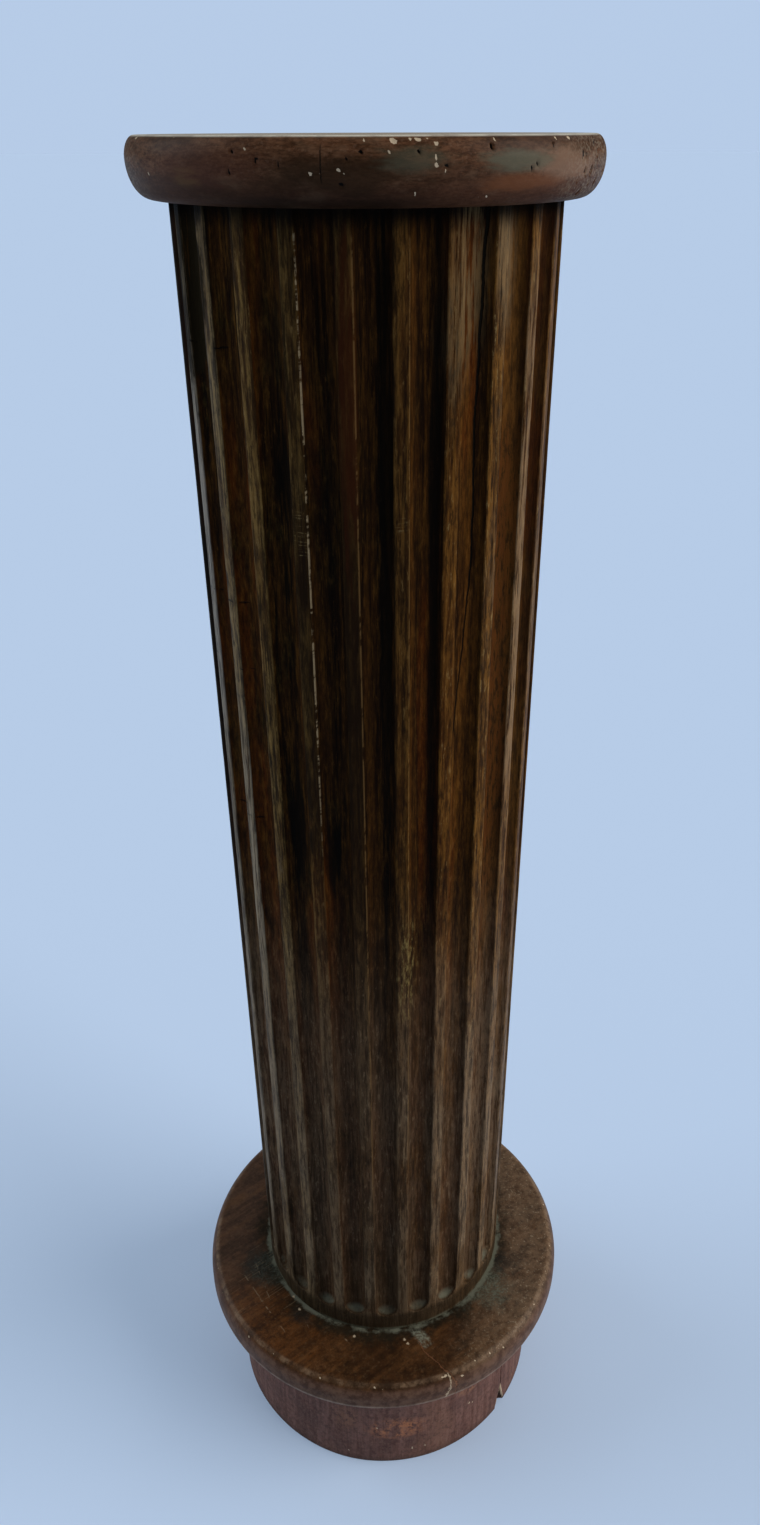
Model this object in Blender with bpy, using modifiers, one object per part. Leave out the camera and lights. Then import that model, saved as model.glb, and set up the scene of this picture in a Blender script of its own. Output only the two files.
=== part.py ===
"""A fluted wooden column in four turned pieces, standing on a round plinth.

Units are metres, +Z is up, and the origin is at the middle of the underside.
A bearing is in degrees around +Z, from the front, which faces -Y, towards +X.
"""

import math

import bpy
from mathutils import Matrix, Vector

# Plinth drum
PLINTH_RADIUS = 0.131
PLINTH_HEIGHT = 0.1127
PLINTH_EDGE_ROUND = 0.0015

# Chip at the foot of the plinth drum, a notch that narrows upwards
CHIP_BEARING = 57.0
CHIP_WIDTH = 0.014
CHIP_HEIGHT = 0.031
CHIP_DEPTH = 0.009

# Base disc
BASE_RADIUS = 0.154
BASE_THICKNESS = 0.0237
BASE_UPPER_INSET = 0.009
BASE_UPPER_ROUND = 0.014
BASE_LOWER_ROUND = 0.0025

# Fluted shaft
SHAFT_HEIGHT = 0.8331
SHAFT_FOOT_RADIUS = 0.1008
SHAFT_TOP_RADIUS = 0.1070
FLUTE_COUNT = 24
FLUTE_DEPTH = 0.0066
FILLET_WIDTH = 0.0084
FOOT_RING_HEIGHT = 0.0165

# Top disc
TOP_RADIUS = 0.1273
TOP_THICKNESS = 0.0296
TOP_UPPER_INSET = 0.0060
TOP_UPPER_ROUND = 0.0105
TOP_LOWER_INSET = 0.0120

# Fits and facets
SEAT_GAP = 0.0003
CUT_MARGIN = 0.010
TURNED_SIDES = 96
ROUNDING_FACET = 0.0024
FEWEST_ROUNDING_STEPS = 2
SIDES_PER_FLUTE = 6
CUTTER_SIDES = 20
NOSE_STEPS = 5
MERGE_DISTANCE = 0.00005
SHARP_ANGLE = math.radians(32.0)

# Heights at which the pieces sit, from the floor up
BASE_BOTTOM = PLINTH_HEIGHT + SEAT_GAP
BASE_TOP = BASE_BOTTOM + BASE_THICKNESS
SHAFT_BOTTOM = BASE_TOP + SEAT_GAP
SHAFT_TOP = SHAFT_BOTTOM + SHAFT_HEIGHT
TOP_BOTTOM = SHAFT_TOP + SEAT_GAP
TOP_TOP = TOP_BOTTOM + TOP_THICKNESS


def clear_scene():
    """Remove the objects that the scene starts with."""
    for thing in list(bpy.data.objects):
        bpy.data.objects.remove(thing, do_unlink=True)


def new_collection(name):
    """Make a collection in the scene."""
    collection = bpy.data.collections.new(name)
    bpy.context.scene.collection.children.link(collection)
    return collection


def move_to(thing, collection):
    """Keep an object in one collection only."""
    for other in list(thing.users_collection):
        other.objects.unlink(thing)
    collection.objects.link(thing)


def wood(name, colour, roughness):
    """A Principled material for one piece of wood, with a linear colour."""
    material = bpy.data.materials.new(name)
    material.use_nodes = True
    shader = material.node_tree.nodes["Principled BSDF"]
    shader.inputs["Base Color"].default_value = (*colour, 1.0)
    shader.inputs["Roughness"].default_value = roughness
    shader.inputs["Metallic"].default_value = 0.0
    material.diffuse_color = (*colour, 1.0)
    return material


def arc(centre, half_sizes, start, end, steps):
    """Points of an elliptical arc in a profile, from start to end in degrees."""
    points = []
    for index in range(steps + 1):
        angle = math.radians(start + (end - start) * index / steps)
        points.append((
            centre[0] + half_sizes[0] * math.cos(angle),
            centre[1] + half_sizes[1] * math.sin(angle),
        ))
    return points


def rounding_steps(rounding):
    """How many facets an edge rounding of this inset and height needs."""
    return max(FEWEST_ROUNDING_STEPS, round(max(rounding) / ROUNDING_FACET))


def rounded_profile(radius, bottom, top, upper, lower):
    """Half outline of a disc, down its outer side.

    upper and lower are the inset and the height of the two edge roundings.
    """
    upper_centre = (radius - upper[0], top - upper[1])
    lower_centre = (radius - lower[0], bottom + lower[1])
    shoulder = arc(upper_centre, upper, 90.0, 0.0, rounding_steps(upper))
    heel = arc(lower_centre, lower, 0.0, -90.0, rounding_steps(lower))
    if math.isclose(upper_centre[1], lower_centre[1], abs_tol=MERGE_DISTANCE):
        heel = heel[1:]
    return [(0.0, top), *shoulder, *heel, (0.0, bottom)]


def turned(name, profile, sides):
    """Turn a half outline around +Z, as on a lathe."""
    mesh = bpy.data.meshes.new(name)
    points = [(radius, 0.0, height) for radius, height in profile]
    edges = [(index, index + 1) for index in range(len(points) - 1)]
    mesh.from_pydata(points, edges, [])
    thing = bpy.data.objects.new(name, mesh)
    screw = thing.modifiers.new("Turn", 'SCREW')
    screw.axis = 'Z'
    screw.angle = math.tau
    screw.steps = sides
    screw.render_steps = sides
    screw.use_merge_vertices = True
    screw.merge_threshold = MERGE_DISTANCE
    screw.use_smooth_shade = True
    return thing


def as_cutter(thing, collection):
    """Keep a cutting shape out of the finished model."""
    move_to(thing, collection)
    thing.hide_render = True
    thing.display_type = 'WIRE'


def at_bearing(bearing):
    """Turn something that faces the front to a bearing."""
    return Matrix.Rotation(math.radians(bearing), 4, 'Z')


def shaft_radius(height):
    """Radius of the shaft's round surface at a height above the floor."""
    share = (height - SHAFT_BOTTOM) / SHAFT_HEIGHT
    return SHAFT_FOOT_RADIUS + (SHAFT_TOP_RADIUS - SHAFT_FOOT_RADIUS) * share


def flute_half_width(height):
    """Half the width that the fillets leave to a flute at a height."""
    pitch = math.tau * shaft_radius(height) / FLUTE_COUNT
    return (pitch - FILLET_WIDTH) / 2.0


def add_flute_cutters(collection):
    """Round-nosed rods that lie along the shaft's surface, one for each flute."""
    stop = SHAFT_BOTTOM + FOOT_RING_HEIGHT
    nose = flute_half_width(stop)
    start = stop + nose
    end = SHAFT_TOP + CUT_MARGIN
    profile = [
        (0.0, end - start),
        (flute_half_width(end), end - start),
        *arc((0.0, 0.0), (nose, nose), 0.0, -90.0, NOSE_STEPS),
    ]
    lean = math.atan2(SHAFT_TOP_RADIUS - SHAFT_FOOT_RADIUS, SHAFT_HEIGHT)
    place = Matrix.Translation(Vector((0.0, -shaft_radius(start), start)))
    tilt = Matrix.Rotation(lean, 4, 'X')
    flatten = Matrix.Diagonal(Vector((1.0, FLUTE_DEPTH / nose, 1.0, 1.0)))
    first = turned("flute_cutter", profile, CUTTER_SIDES)
    pitch = 360.0 / FLUTE_COUNT
    for index in range(FLUTE_COUNT):
        cutter = first if index == 0 else first.copy()
        cutter.name = f"flute_cutter_{index:02d}"
        as_cutter(cutter, collection)
        cutter.matrix_world = at_bearing(pitch * (index + 0.5)) @ place @ tilt @ flatten


def add_chip_cutter(collection):
    """A four-sided spike, whose edge bites into the drum and whose tip is up."""
    height = CHIP_HEIGHT + CUT_MARGIN
    growth = height / CHIP_HEIGHT
    bpy.ops.mesh.primitive_cone_add(vertices=4, radius1=1.0, radius2=0.0, depth=height)
    cutter = bpy.context.object
    cutter.name = "chip_cutter"
    as_cutter(cutter, collection)
    middle = CHIP_HEIGHT - height / 2.0
    place = Matrix.Translation(Vector((0.0, -PLINTH_RADIUS, middle)))
    widths = Vector((CHIP_WIDTH / 2.0 * growth, CHIP_DEPTH * growth, 1.0, 1.0))
    cutter.matrix_world = at_bearing(CHIP_BEARING) @ place @ Matrix.Diagonal(widths)
    return cutter


def cut(thing, name):
    """Add an exact difference to an object, whose operand is set by the caller."""
    boolean = thing.modifiers.new(name, 'BOOLEAN')
    boolean.operation = 'DIFFERENCE'
    boolean.solver = 'EXACT'
    return boolean


def smooth(thing):
    """Shade a round piece smooth and keep its arrises sharp."""
    thing.data.shade_smooth()
    thing.data.set_sharp_from_angle(angle=SHARP_ANGLE)


def add_plinth_drum(model, cutters):
    """The plain round block, with a chip broken out of its foot."""
    rounding = (PLINTH_EDGE_ROUND, PLINTH_EDGE_ROUND)
    profile = rounded_profile(PLINTH_RADIUS, 0.0, PLINTH_HEIGHT, rounding, rounding)
    drum = turned("plinth_drum", profile, TURNED_SIDES)
    move_to(drum, model)
    cut(drum, "Chip").object = add_chip_cutter(cutters)
    drum.data.materials.append(wood("plinth_wood", (0.085, 0.047, 0.038), 0.62))


def add_base_disc(model):
    """The wide board under the shaft."""
    upper = (BASE_UPPER_INSET, BASE_UPPER_ROUND)
    lower = (BASE_LOWER_ROUND, BASE_LOWER_ROUND)
    profile = rounded_profile(BASE_RADIUS, BASE_BOTTOM, BASE_TOP, upper, lower)
    disc = turned("base_disc", profile, TURNED_SIDES)
    move_to(disc, model)
    disc.data.materials.append(wood("base_wood", (0.074, 0.040, 0.022), 0.45))


def add_fluted_shaft(model, flute_cutters):
    """The round trunk, whose flutes start above its foot and run out at its top."""
    bpy.ops.mesh.primitive_cone_add(
        vertices=FLUTE_COUNT * SIDES_PER_FLUTE,
        radius1=SHAFT_FOOT_RADIUS,
        radius2=SHAFT_TOP_RADIUS,
        depth=SHAFT_HEIGHT,
        location=(0.0, 0.0, SHAFT_BOTTOM + SHAFT_HEIGHT / 2.0),
    )
    shaft = bpy.context.object
    shaft.name = "fluted_shaft"
    move_to(shaft, model)
    smooth(shaft)
    add_flute_cutters(flute_cutters)
    flutes = cut(shaft, "Flutes")
    flutes.operand_type = 'COLLECTION'
    flutes.collection = flute_cutters
    shaft.data.materials.append(wood("shaft_wood", (0.045, 0.030, 0.017), 0.42))


def add_top_disc(model):
    """The board on the shaft, with a flat top to stand things on."""
    upper = (TOP_UPPER_INSET, TOP_UPPER_ROUND)
    lower = (TOP_LOWER_INSET, TOP_THICKNESS - TOP_UPPER_ROUND)
    profile = rounded_profile(TOP_RADIUS, TOP_BOTTOM, TOP_TOP, upper, lower)
    disc = turned("top_disc", profile, TURNED_SIDES)
    move_to(disc, model)
    disc.data.materials.append(wood("top_wood", (0.105, 0.062, 0.044), 0.50))


def main():
    """Build the column."""
    clear_scene()
    model = new_collection("fluted_column")
    cutters = new_collection("cutters")
    flute_cutters = new_collection("flute_cutters")
    add_plinth_drum(model, cutters)
    add_base_disc(model)
    add_fluted_shaft(model, flute_cutters)
    add_top_disc(model)


main()
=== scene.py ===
"""The looks of a worn, fluted wooden column that stands on a turned plinth.

Lengths are metres, +Z is up and the column's front faces -Y. A bearing is in degrees
around +Z, from the front towards +X. Pixels are of the 760 by 1525 photograph.
"""

import math
import random

import bpy
import numpy as np
from mathutils import Matrix, Vector, noise


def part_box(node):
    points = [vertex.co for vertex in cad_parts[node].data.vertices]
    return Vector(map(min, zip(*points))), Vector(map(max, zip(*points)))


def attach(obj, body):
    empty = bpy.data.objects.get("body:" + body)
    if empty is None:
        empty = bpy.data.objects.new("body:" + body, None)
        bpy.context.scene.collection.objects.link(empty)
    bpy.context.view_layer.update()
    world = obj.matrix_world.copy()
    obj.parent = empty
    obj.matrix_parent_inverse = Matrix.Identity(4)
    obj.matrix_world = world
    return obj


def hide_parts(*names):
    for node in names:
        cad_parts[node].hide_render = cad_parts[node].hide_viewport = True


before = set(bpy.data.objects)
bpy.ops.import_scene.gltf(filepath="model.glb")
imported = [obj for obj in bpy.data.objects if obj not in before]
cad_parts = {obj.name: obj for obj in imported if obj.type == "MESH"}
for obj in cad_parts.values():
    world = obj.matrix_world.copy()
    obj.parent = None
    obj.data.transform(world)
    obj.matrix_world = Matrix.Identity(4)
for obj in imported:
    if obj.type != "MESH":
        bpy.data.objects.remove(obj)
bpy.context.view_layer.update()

# Heights and radii, read from the frame
DRUM_LOW, DRUM_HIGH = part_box("plinth_drum")
BASE_LOW, BASE_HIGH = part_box("base_disc")
SHAFT_LOW, SHAFT_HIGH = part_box("fluted_shaft")
TOP_LOW, TOP_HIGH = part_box("top_disc")
DRUM_RADIUS = DRUM_HIGH.x
BASE_RADIUS = BASE_HIGH.x
TOP_RADIUS = TOP_HIGH.x
SHAFT_TOP_RADIUS = SHAFT_HIGH.x
SHAFT_FOOT_RADIUS = 0.1008

# Edge roundings, as inset and height
DRUM_ROUND = (0.0015, 0.0015)
BASE_UPPER_ROUND = (0.009, 0.014)
BASE_LOWER_ROUND = (0.0025, 0.0025)
TOP_UPPER_ROUND = (0.006, 0.0105)
TOP_LOWER_ROUND = (0.012, 0.0191)

# Flutes
FLUTE_COUNT = 24
FLUTE_DEPTH = 0.0066
FILLET_WIDTH = 0.0084
FOOT_RING_HEIGHT = 0.0165
FLUTE_COLUMNS = 13
FILLET_COLUMNS = 5
ARRIS_WEAR = 0.00035
SHAFT_ROW = 0.0043
NOSE_ROWS = 8
FILLET_SHARES = (0.08, 0.27, 0.5, 0.73, 0.92)
FLUTE_SWAY = 0.00022
ARRIS_NICK = 0.0042
FILLET_WEAR = 0.00006
FILLET_NICK = 0.002

# Depth of worm holes and paint chips, in millimetres
HOLE_DEPTH = 1.8
PAINT_DEPTH = 0.4

# Chip and split in the plinth drum
CHIP_BEARING = 57.0
CHIP_WIDTH = 0.014
CHIP_HEIGHT = 0.031
CHIP_DEPTH = 0.009
FOOT_DENT = (67.9, 11.0, 3.0, 4.0, 1.2)
SPLIT_TOP = 0.078
SPLIT_WIDTH = 0.0013

# Fineness of the turned pieces
DISC_SIDES = 720
FINE_STEP = 0.0015
COARSE_STEP = 0.012
MERGE_DISTANCE = 0.00001

# Finishes
CREAM = (0.5, 0.38, 0.25)
BLACK = (0.004, 0.003, 0.002)
PATCH_WANDER = 1.6
WAX_ROUGHNESS = 0.36

# Stage
FLOOR_RADIUS = 60.0
FLOOR_COLOUR = (0.459, 0.559, 0.716)
FLOOR_GLOW = (0.095, 0.121, 0.162)
SKY_COLOUR = (0.59, 0.75, 1.0)
SKY_SEEN = 0.8
SKY_LIGHT = 0.06

# Suns, as name, bearing, elevation, strength, colour and spread
SUNS = (
    ("right_window", 82.0, 30.0, 2.3, (1.0, 0.97, 0.93), 50.0),
    ("left_window", -93.0, 28.0, 1.25, (0.86, 0.94, 1.0), 50.0),
    ("overhead", 170.0, 72.0, 1.0, (0.86, 0.94, 1.0), 100.0),
)

# Camera, fitted to the outline in the photograph
PHOTO_HEIGHT = 1525
SENSOR = 36.0
FOCAL_PIXELS = 1137.0
CAMERA_BEARING = math.radians(6.5)
CAMERA_DISTANCE = 0.692
CAMERA_HEIGHT = 1.003
CAMERA_PITCH = 0.5097
CAMERA_YAW = 0.0255
CAMERA_ROLL = 0.0035
AXIS_SHIFT_PIXELS = 21.4


# Turning and carving


def deselect_all():
    """Leave nothing selected, so that an operator acts on one piece only."""
    bpy.ops.object.select_all(action='DESELECT')


def select_only(piece):
    """Make one piece the selected and active one."""
    deselect_all()
    piece.select_set(True)
    bpy.context.view_layer.objects.active = piece


def subdivide(cuts):
    """Cut every edge of the active piece into shorter ones."""
    bpy.ops.object.mode_set(mode='EDIT')
    bpy.ops.mesh.select_all(action='SELECT')
    bpy.ops.mesh.subdivide(number_cuts=cuts)
    bpy.ops.object.mode_set(mode='OBJECT')


def arc(centre, half_sizes, start, end, steps):
    """Points of an elliptical arc in an outline, from start to end in degrees."""
    points = []
    for index in range(steps + 1):
        angle = math.radians(start + (end - start) * index / steps)
        points.append((
            centre[0] + half_sizes[0] * math.cos(angle),
            centre[1] + half_sizes[1] * math.sin(angle),
        ))
    return points


def line(start, end, step):
    """Evenly spaced points from start towards end, without the end itself."""
    count = max(1, round(math.dist(start, end) / step))
    return [
        (start[0] + (end[0] - start[0]) * i / count, start[1] + (end[1] - start[1]) * i / count)
        for i in range(count)
    ]


def turn(name, outline, sides):
    """Extrude an outline of (radius, height) points and turn it around +Z."""
    deselect_all()
    bpy.ops.mesh.primitive_plane_add(size=FINE_STEP)
    piece = bpy.context.object
    piece.name = name
    piece.data.name = name
    bpy.ops.object.mode_set(mode='EDIT')
    bpy.ops.mesh.select_all(action='SELECT')
    bpy.ops.mesh.merge(type='CENTER')
    bpy.ops.transform.translate(value=(outline[0][0], 0.0, outline[0][1]))
    for here, there in zip(outline, outline[1:]):
        step = (there[0] - here[0], 0.0, there[1] - here[1])
        bpy.ops.mesh.extrude_region_move(TRANSFORM_OT_translate={"value": step})
    bpy.ops.object.mode_set(mode='OBJECT')
    screw = piece.modifiers.new("Turn", 'SCREW')
    screw.axis = 'Z'
    screw.angle = math.tau
    screw.steps = sides
    screw.render_steps = sides
    screw.use_merge_vertices = True
    screw.merge_threshold = MERGE_DISTANCE
    select_only(piece)
    bpy.ops.object.modifier_apply(modifier="Turn")
    bpy.ops.object.mode_set(mode='EDIT')
    bpy.ops.mesh.select_all(action='SELECT')
    bpy.ops.mesh.remove_doubles(threshold=MERGE_DISTANCE)
    bpy.ops.mesh.normals_make_consistent(inside=False)
    bpy.ops.object.mode_set(mode='OBJECT')
    return piece


def read_points(piece):
    """The piece's vertices as rows of x, y, z."""
    points = np.empty(len(piece.data.vertices) * 3)
    piece.data.vertices.foreach_get("co", points)
    return points.reshape(-1, 3)


def write_points(piece, points):
    """Move the piece's vertices to these rows of x, y, z."""
    piece.data.vertices.foreach_set("co", points.ravel())
    piece.data.update()


def lumps(points, frequency, seed):
    """Smooth noise from -1 to 1 at each point. frequency is per metre along x, y and z."""
    shift = Vector((seed * 7.1, seed * 3.3, seed * 5.7))
    scaled = points * np.array(frequency)
    return np.array([noise.noise(Vector(p) + shift) for p in scaled])


def swell(points, radius, frequency, seed, amount):
    """Make a turned surface slightly uneven, outwards and inwards."""
    wobble = lumps(points, frequency, seed) * amount
    points *= 1.0 + (wobble / radius)[:, None] * np.array((1.0, 1.0, 0.0))


def keep_number(piece, name, values):
    """Store one number a vertex, for a material to read."""
    layer = piece.data.attributes.new(name, 'FLOAT', 'POINT')
    layer.data.foreach_set("value", values)


def along_and_up(points, radius, bearing, height, slant=0.0):
    """Distances from a place on a round side, around it and up it, turned by a slant in degrees."""
    bearings = np.arctan2(points[:, 0], -points[:, 1])
    away = (bearings - math.radians(bearing) + math.pi) % math.tau - math.pi
    around = away * radius
    up = points[:, 2] - height
    turn_by = math.radians(slant)
    return (
        around * math.cos(turn_by) + up * math.sin(turn_by),
        up * math.cos(turn_by) - around * math.sin(turn_by),
    )


def dent(points, radius, marks):
    """Press marks into a round side and give how deep into a mark each point lies, from 0 to 1.

    A mark is (bearing, height, half width, half height, depth), in degrees and millimetres,
    and may end with a slant in degrees.
    """
    share = np.zeros(len(points))
    inward = -points.copy()
    inward[:, 2] = 0.0
    length = np.maximum(np.linalg.norm(inward, axis=1), 0.000001)
    inward /= length[:, None]
    pressed = np.zeros_like(points)
    for bearing, *sizes in marks:
        height, half_width, half_height, depth = (size / 1000.0 for size in sizes[:4])
        level = np.abs(points[:, 2] - height) < FINE_STEP * 0.75
        place = length[level & (length > radius * 0.8)].max()
        around, up = along_and_up(points, radius, bearing, height, *sizes[4:])
        inwards = (length - place) / max(half_width, half_height)
        reach = (around / half_width) ** 2 + (up / half_height) ** 2 + inwards ** 2
        amount = np.clip(1.0 - reach, 0.0, 1.0)
        pressed += inward * (amount * depth)[:, None]
        share = np.maximum(share, np.sqrt(amount))
    points += pressed
    return share


def cut_away(piece, cutter):
    """Cut one shape out of a piece and remove the cutter."""
    boolean = piece.modifiers.new("Cut", 'BOOLEAN')
    boolean.operation = 'DIFFERENCE'
    boolean.solver = 'EXACT'
    boolean.object = cutter
    select_only(piece)
    bpy.ops.object.modifier_apply(modifier="Cut")
    bpy.data.objects.remove(cutter, do_unlink=True)


def finish_piece(piece, degrees, node, material):
    """Shade smooth up to an angle, and put a piece in its node's place, with its material."""
    select_only(piece)
    bpy.ops.object.shade_smooth_by_angle(angle=math.radians(degrees))
    piece.data.materials.clear()
    piece.data.materials.append(material)
    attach(piece, "root")
    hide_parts(node)


# Pieces


def shaft_radius(height):
    """Radius of the shaft's fillets at a height."""
    share = (height - SHAFT_LOW.z) / (SHAFT_HIGH.z - SHAFT_LOW.z)
    return SHAFT_FOOT_RADIUS + (SHAFT_TOP_RADIUS - SHAFT_FOOT_RADIUS) * share


def shaft_rows():
    """Heights of the shaft's rows of points, from the top down."""
    stop = SHAFT_LOW.z + FOOT_RING_HEIGHT
    nose = flute_half_width(stop)
    heights = [height for _, height in line((0.0, SHAFT_HIGH.z), (0.0, stop + nose), SHAFT_ROW)]
    for index in range(NOSE_ROWS + 1):
        heights.append(stop + nose * (1.0 - math.sin(math.pi / 2.0 * index / NOSE_ROWS)))
    heights += [height for _, height in line((0.0, stop), (0.0, SHAFT_LOW.z), SHAFT_ROW)][1:]
    return heights + [SHAFT_LOW.z]


def flute_half_width(height):
    """Half the width that the fillets leave to a flute at a height."""
    return (math.tau * shaft_radius(height) / FLUTE_COUNT - FILLET_WIDTH) / 2.0


def carve_flutes(points):
    """Move the points of a plain round trunk onto its fillets and flutes.

    It gives the moved points, how deep each lies under the fillets' surface, and its
    place across the flute, from -1 at the left arris to 1 at the right one.
    """
    stop = SHAFT_LOW.z + FOOT_RING_HEIGHT
    nose = flute_half_width(stop)
    columns = FLUTE_COLUMNS + FILLET_COLUMNS
    total = columns * FLUTE_COUNT
    moved = points.copy()
    under = np.zeros(len(points))
    across = np.zeros(len(points))
    bearings = np.arctan2(points[:, 0], -points[:, 1]) % math.tau
    slots = np.rint(bearings / math.tau * total).astype(int) % total
    for index, (x, y, z) in enumerate(points):
        if math.hypot(x, y) < SHAFT_FOOT_RADIUS * 0.5:
            continue
        radius = shaft_radius(z)
        pitch = math.tau * radius / FLUTE_COUNT
        flute, column = divmod(int(slots[index]), columns)
        centre = (flute + 0.5) * math.tau / FLUTE_COUNT
        sway = noise.noise(Vector((flute * 3.7, 0.0, z * 9.0)))
        wear = noise.noise(Vector((flute * 5.3, 4.0, z * 60.0)))
        nick = noise.noise(Vector((flute * 9.1, column * 2.0, z * 190.0)))
        full = pitch / 2.0 - FILLET_WIDTH / 2.0 + FLUTE_SWAY * sway
        if z >= stop + nose:
            shrink = 1.0
        elif z > stop:
            shrink = math.sqrt(max(0.0, 1.0 - ((stop + nose - z) / nose) ** 2))
        else:
            shrink = 0.0
        if z < stop - 0.0001:
            offset = ((column + 0.5) / columns - 0.5) * pitch
            depth = 0.0
        elif column < FLUTE_COLUMNS:
            angle = -math.pi / 2.0 + math.pi * column / (FLUTE_COLUMNS - 1)
            offset = full * shrink * math.sin(angle)
            across[index] = math.sin(angle) * shrink
            depth = FLUTE_DEPTH * shrink * max(math.cos(angle), 0.0)
            if column in (0, FLUTE_COLUMNS - 1):
                rounding = ARRIS_WEAR * (1.0 + 0.9 * wear) + max(0.0, nick - 0.42) * ARRIS_NICK
                depth += max(0.0, rounding)
        else:
            share = FILLET_SHARES[column - FLUTE_COLUMNS]
            offset = full * shrink + (pitch - 2.0 * full * shrink) * share
            depth = FILLET_WEAR * (1.0 + wear)
            if column in (FLUTE_COLUMNS, columns - 1):
                depth += max(0.0, nick - 0.5) * FILLET_NICK
        angle = centre + offset / radius
        place = radius - depth
        moved[index] = (place * math.sin(angle), -place * math.cos(angle), z)
        under[index] = depth
    return moved, under, across


def make_shaft(material):
    """The trunk with its flutes, which end in round scoops above a plain foot."""
    rows = shaft_rows()
    outline = [(0.0, rows[0])] + [(shaft_radius(z), z) for z in rows] + [(0.0, rows[-1])]
    shaft = turn("shaft", outline, (FLUTE_COLUMNS + FILLET_COLUMNS) * FLUTE_COUNT)
    points, under, across = carve_flutes(read_points(shaft))
    write_points(shaft, points)
    keep_number(shaft, "under", under)
    keep_number(shaft, "across", across)
    finish_piece(shaft, 62.0, "fluted_shaft", material)


def worm_holes(count, bearings, heights, seed):
    """Small round and slanted holes, scattered over a stretch of a round side."""
    chance = random.Random(seed)
    holes = []
    for _ in range(count):
        size = chance.uniform(0.7, 1.1)
        stretch = chance.choice((1.0, 1.0, 1.6, 2.6))
        holes.append((
            chance.uniform(*bearings),
            chance.uniform(*heights),
            size,
            size * stretch,
            HOLE_DEPTH,
            chance.uniform(-35.0, -5.0),
        ))
    return holes


def make_top_disc(material):
    """The top board, with worm holes, slits and chips in its rounded edge."""
    low, high = TOP_LOW.z, TOP_HIGH.z
    shoulder = (TOP_RADIUS - TOP_UPPER_ROUND[0], high - TOP_UPPER_ROUND[1])
    heel = (TOP_RADIUS - TOP_LOWER_ROUND[0], low + TOP_LOWER_ROUND[1])
    outline = [
        *line((0.0, high), (shoulder[0], high), COARSE_STEP),
        *arc(shoulder, TOP_UPPER_ROUND, 90.0, 0.0, 12)[:-1],
        *arc(heel, TOP_LOWER_ROUND, 0.0, -90.0, 20),
        *line((heel[0], low), (0.0, low), COARSE_STEP)[1:],
        (0.0, low),
    ]
    disc = turn("top_board", outline, DISC_SIDES)
    points = read_points(disc)
    holes = [
        (33.0, 995.2, 0.7, 2.4, 2.0, -28.0),
        (50.6, 995.8, 0.8, 1.4, 2.0, -10.0),
        (63.5, 990.5, 0.9, 1.6, 2.0, -12.0),
        (63.8, 984.5, 0.8, 2.2, 2.0, -8.0),
        (75.9, 993.0, 0.9, 2.4, 2.0, -12.0),
        (79.0, 984.0, 0.9, 3.0, 2.2, -25.0),
        (73.0, 979.0, 0.8, 2.6, 2.0, -30.0),
        (65.0, 974.5, 0.9, 3.0, 2.0, -32.0),
        (68.0, 979.0, 0.7, 1.4, 1.6, -20.0),
        (45.0, 988.0, 0.8, 1.3, 1.6, -15.0),
        (43.5, 986.0, 0.7, 1.2, 1.6, -15.0),
        (5.4, 993.5, 1.1, 0.9, 1.6),
        (17.0, 993.5, 0.6, 1.9, 1.6, 25.0),
        (2.4, 990.5, 0.8, 0.7, 1.4),
        (-22.0, 993.5, 1.1, 0.8, 1.4),
        *worm_holes(34, (60.0, 128.0), (974.0, 997.0), 5),
        *worm_holes(22, (238.0, 296.0), (974.0, 997.0), 9),
        *worm_holes(14, (128.0, 238.0), (976.0, 996.0), 12),
        *worm_holes(5, (-30.0, 30.0), (980.0, 992.0), 15),
    ]
    chips = [
        (11.9, 997.8, 2.6, 1.3, 0.6, -28.0),
        (11.0, 993.5, 0.9, 0.8, 0.4),
        (6.0, 998.4, 0.7, 0.8, 0.4),
        (15.4, 998.6, 1.2, 1.1, 0.5),
        (17.0, 998.4, 1.8, 1.0, 0.6),
        (19.2, 998.7, 0.9, 1.1, 0.5),
        (20.7, 996.8, 1.3, 1.2, 0.5),
        (20.5, 991.5, 0.6, 1.0, 0.4),
        (20.6, 988.3, 1.4, 1.3, 0.6, 25.0),
        (22.6, 985.8, 0.9, 0.9, 0.5),
        (34.0, 998.3, 1.1, 1.0, 0.5),
        (52.0, 998.5, 1.4, 1.1, 0.6),
        (57.0, 998.6, 1.8, 1.1, 0.6),
        (-4.9, 985.0, 1.1, 1.1, 0.4),
        (-3.0, 985.5, 0.6, 0.6, 0.4),
        (0.9, 986.5, 1.1, 0.9, 0.4),
        (1.9, 985.5, 0.8, 0.7, 0.4),
        (16.6, 976.5, 0.8, 1.2, 0.4),
        (31.0, 975.0, 0.7, 0.8, 0.4),
        (33.0, 974.8, 0.7, 0.7, 0.4),
        (58.0, 977.5, 0.7, 0.8, 0.4),
        (-19.0, 995.0, 0.5, 0.8, 0.3),
        (-40.0, 999.5, 1.2, 0.7, 0.4),
    ]
    for bearing in (95.0, 131.0, 149.0, 172.0, 214.0, 229.0, 263.0, 301.0):
        chips.append((bearing, 999.0, 1.6, 1.0, 0.5))
        chips.append((bearing + 9.0, 984.0, 1.0, 1.0, PAINT_DEPTH))
    keep_number(disc, "hole", dent(points, TOP_RADIUS, holes))
    keep_number(disc, "chip", dent(points, TOP_RADIUS, chips))
    swell(points, TOP_RADIUS, (14.0, 14.0, 40.0), 3, 0.0003)
    write_points(disc, points)
    finish_piece(disc, 50.0, "top_disc", material)


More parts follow.
